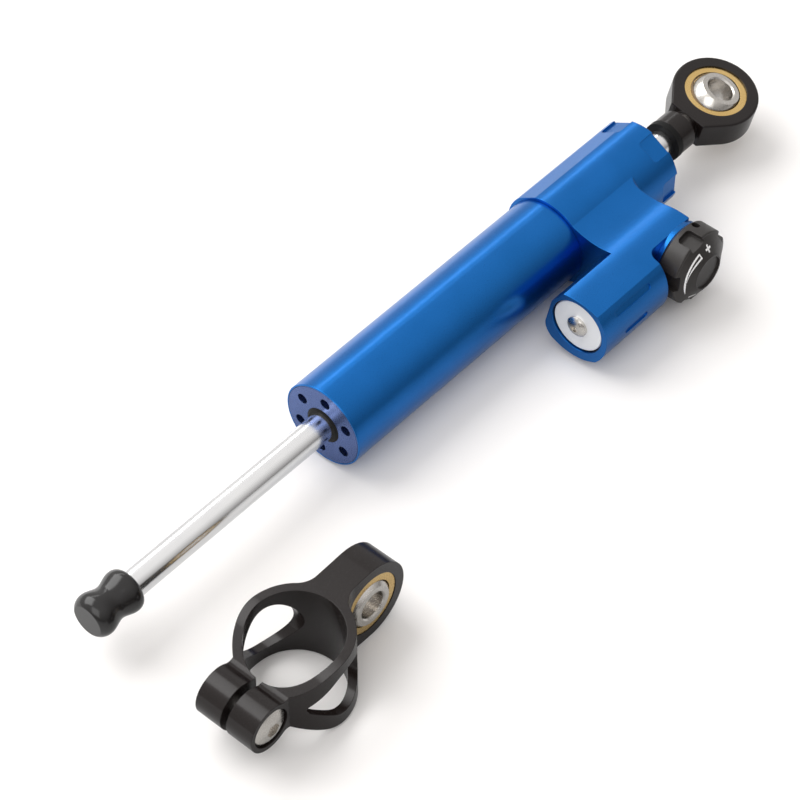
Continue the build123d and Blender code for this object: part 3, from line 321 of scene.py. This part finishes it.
# Painted shade: glossy rays get the greyer tone, so metal reflects a darker floor than the
# camera sees
painted_reflection_mask = add(floor_tree, "ShaderNodeLightPath").outputs["Is Glossy Ray"]
floor_tone_with_painted_reflection = blend(floor_tree, painted_reflection_mask, FLOOR_TONE, painted_reflection_tone)
floor_tree.links.new(floor_tone_with_painted_reflection, floor_shader.inputs["Base Color"])
floor_shader.inputs["Roughness"].default_value = FLOOR_ROUGHNESS
floor_shader.inputs["Specular IOR Level"].default_value = FLOOR_SPECULAR
floor.data.materials.append(floor_white_with_painted_reflection)

# World: brightest overhead, darkest at the near horizon, and plain white to the camera
world = bpy.data.worlds.new("studio")
bpy.context.scene.world = world
world.use_nodes = True
sky = world.node_tree
heading = add(sky, "ShaderNodeTexCoord").outputs["Generated"]
side = spread(sky, coordinate(sky, heading, "Y"), 0.0, 1.0, SKY_SIDE)
rise = spread(sky, coordinate(sky, heading, "Z"), 0.0, 1.0, SKY_RISE)
tone = blend(sky, rise, blend(sky, side, NEAR_HORIZON, FAR_HORIZON), OVERHEAD)
background = sky.nodes["Background"]
background.inputs["Strength"].default_value = SKY_STRENGTH
sky.links.new(tone, background.inputs["Color"])
plain = add(sky, "ShaderNodeBackground", Color=(1, 1, 1, 1), Strength=1.0)
pick = add(sky, "ShaderNodeMixShader")
camera_ray = add(sky, "ShaderNodeLightPath").outputs["Is Camera Ray"]
sky.links.new(camera_ray, pick.inputs["Fac"])
sky.links.new(background.outputs["Background"], pick.inputs[1])
sky.links.new(plain.outputs["Background"], pick.inputs[2])
sky.links.new(pick.outputs["Shader"], sky.nodes["World Output"].inputs["Surface"])


def lamp(name, place, aim, size, power):
    """A soft box aimed at a point, in metres and watts."""
    data = bpy.data.lights.new(name, "AREA")
    data.shape = "RECTANGLE"
    data.size, data.size_y = size
    data.energy = power
    made = bpy.data.objects.new(name, data)
    bpy.context.scene.collection.objects.link(made)
    made.location = place
    toward = Vector(aim) - Vector(place)
    made.rotation_euler = toward.to_track_quat("-Z", "Y").to_euler()


lamp("key", (-0.15, 0.85, 1.0), (0.05, 0.0, 0.0), (1.2, 1.0), 12.5)
lamp("front", (-0.9, -0.3, 0.8), (0.0, 0.0, 0.0), (0.9, 0.9), 4.0)
# Long narrow box along the tube, for the streak on its upper flank
lamp("strip", (0.70, 0.78, 0.69), (0.70, 0.0, 0.0), (0.9, 0.09), 1.0)

camera_data = bpy.data.cameras.new("camera")
camera_data.lens = LENS_MM
camera_data.sensor_width = SENSOR_MM
camera_data.clip_start = CLIP_START_M
camera_data.clip_end = CLIP_END_M
camera = bpy.data.objects.new("camera", camera_data)
bpy.context.scene.collection.objects.link(camera)
right = Vector(RIGHT).normalized()
ahead = Vector(FORWARD).normalized()
up = right.cross(ahead)
camera.matrix_world = Matrix(
    (
        (right.x, up.x, -ahead.x, EYE[0]),
        (right.y, up.y, -ahead.y, EYE[1]),
        (right.z, up.z, -ahead.z, EYE[2]),
        (0, 0, 0, 1),
    )
)
bpy.context.scene.camera = camera
bpy.context.scene.view_settings.view_transform = "Standard"
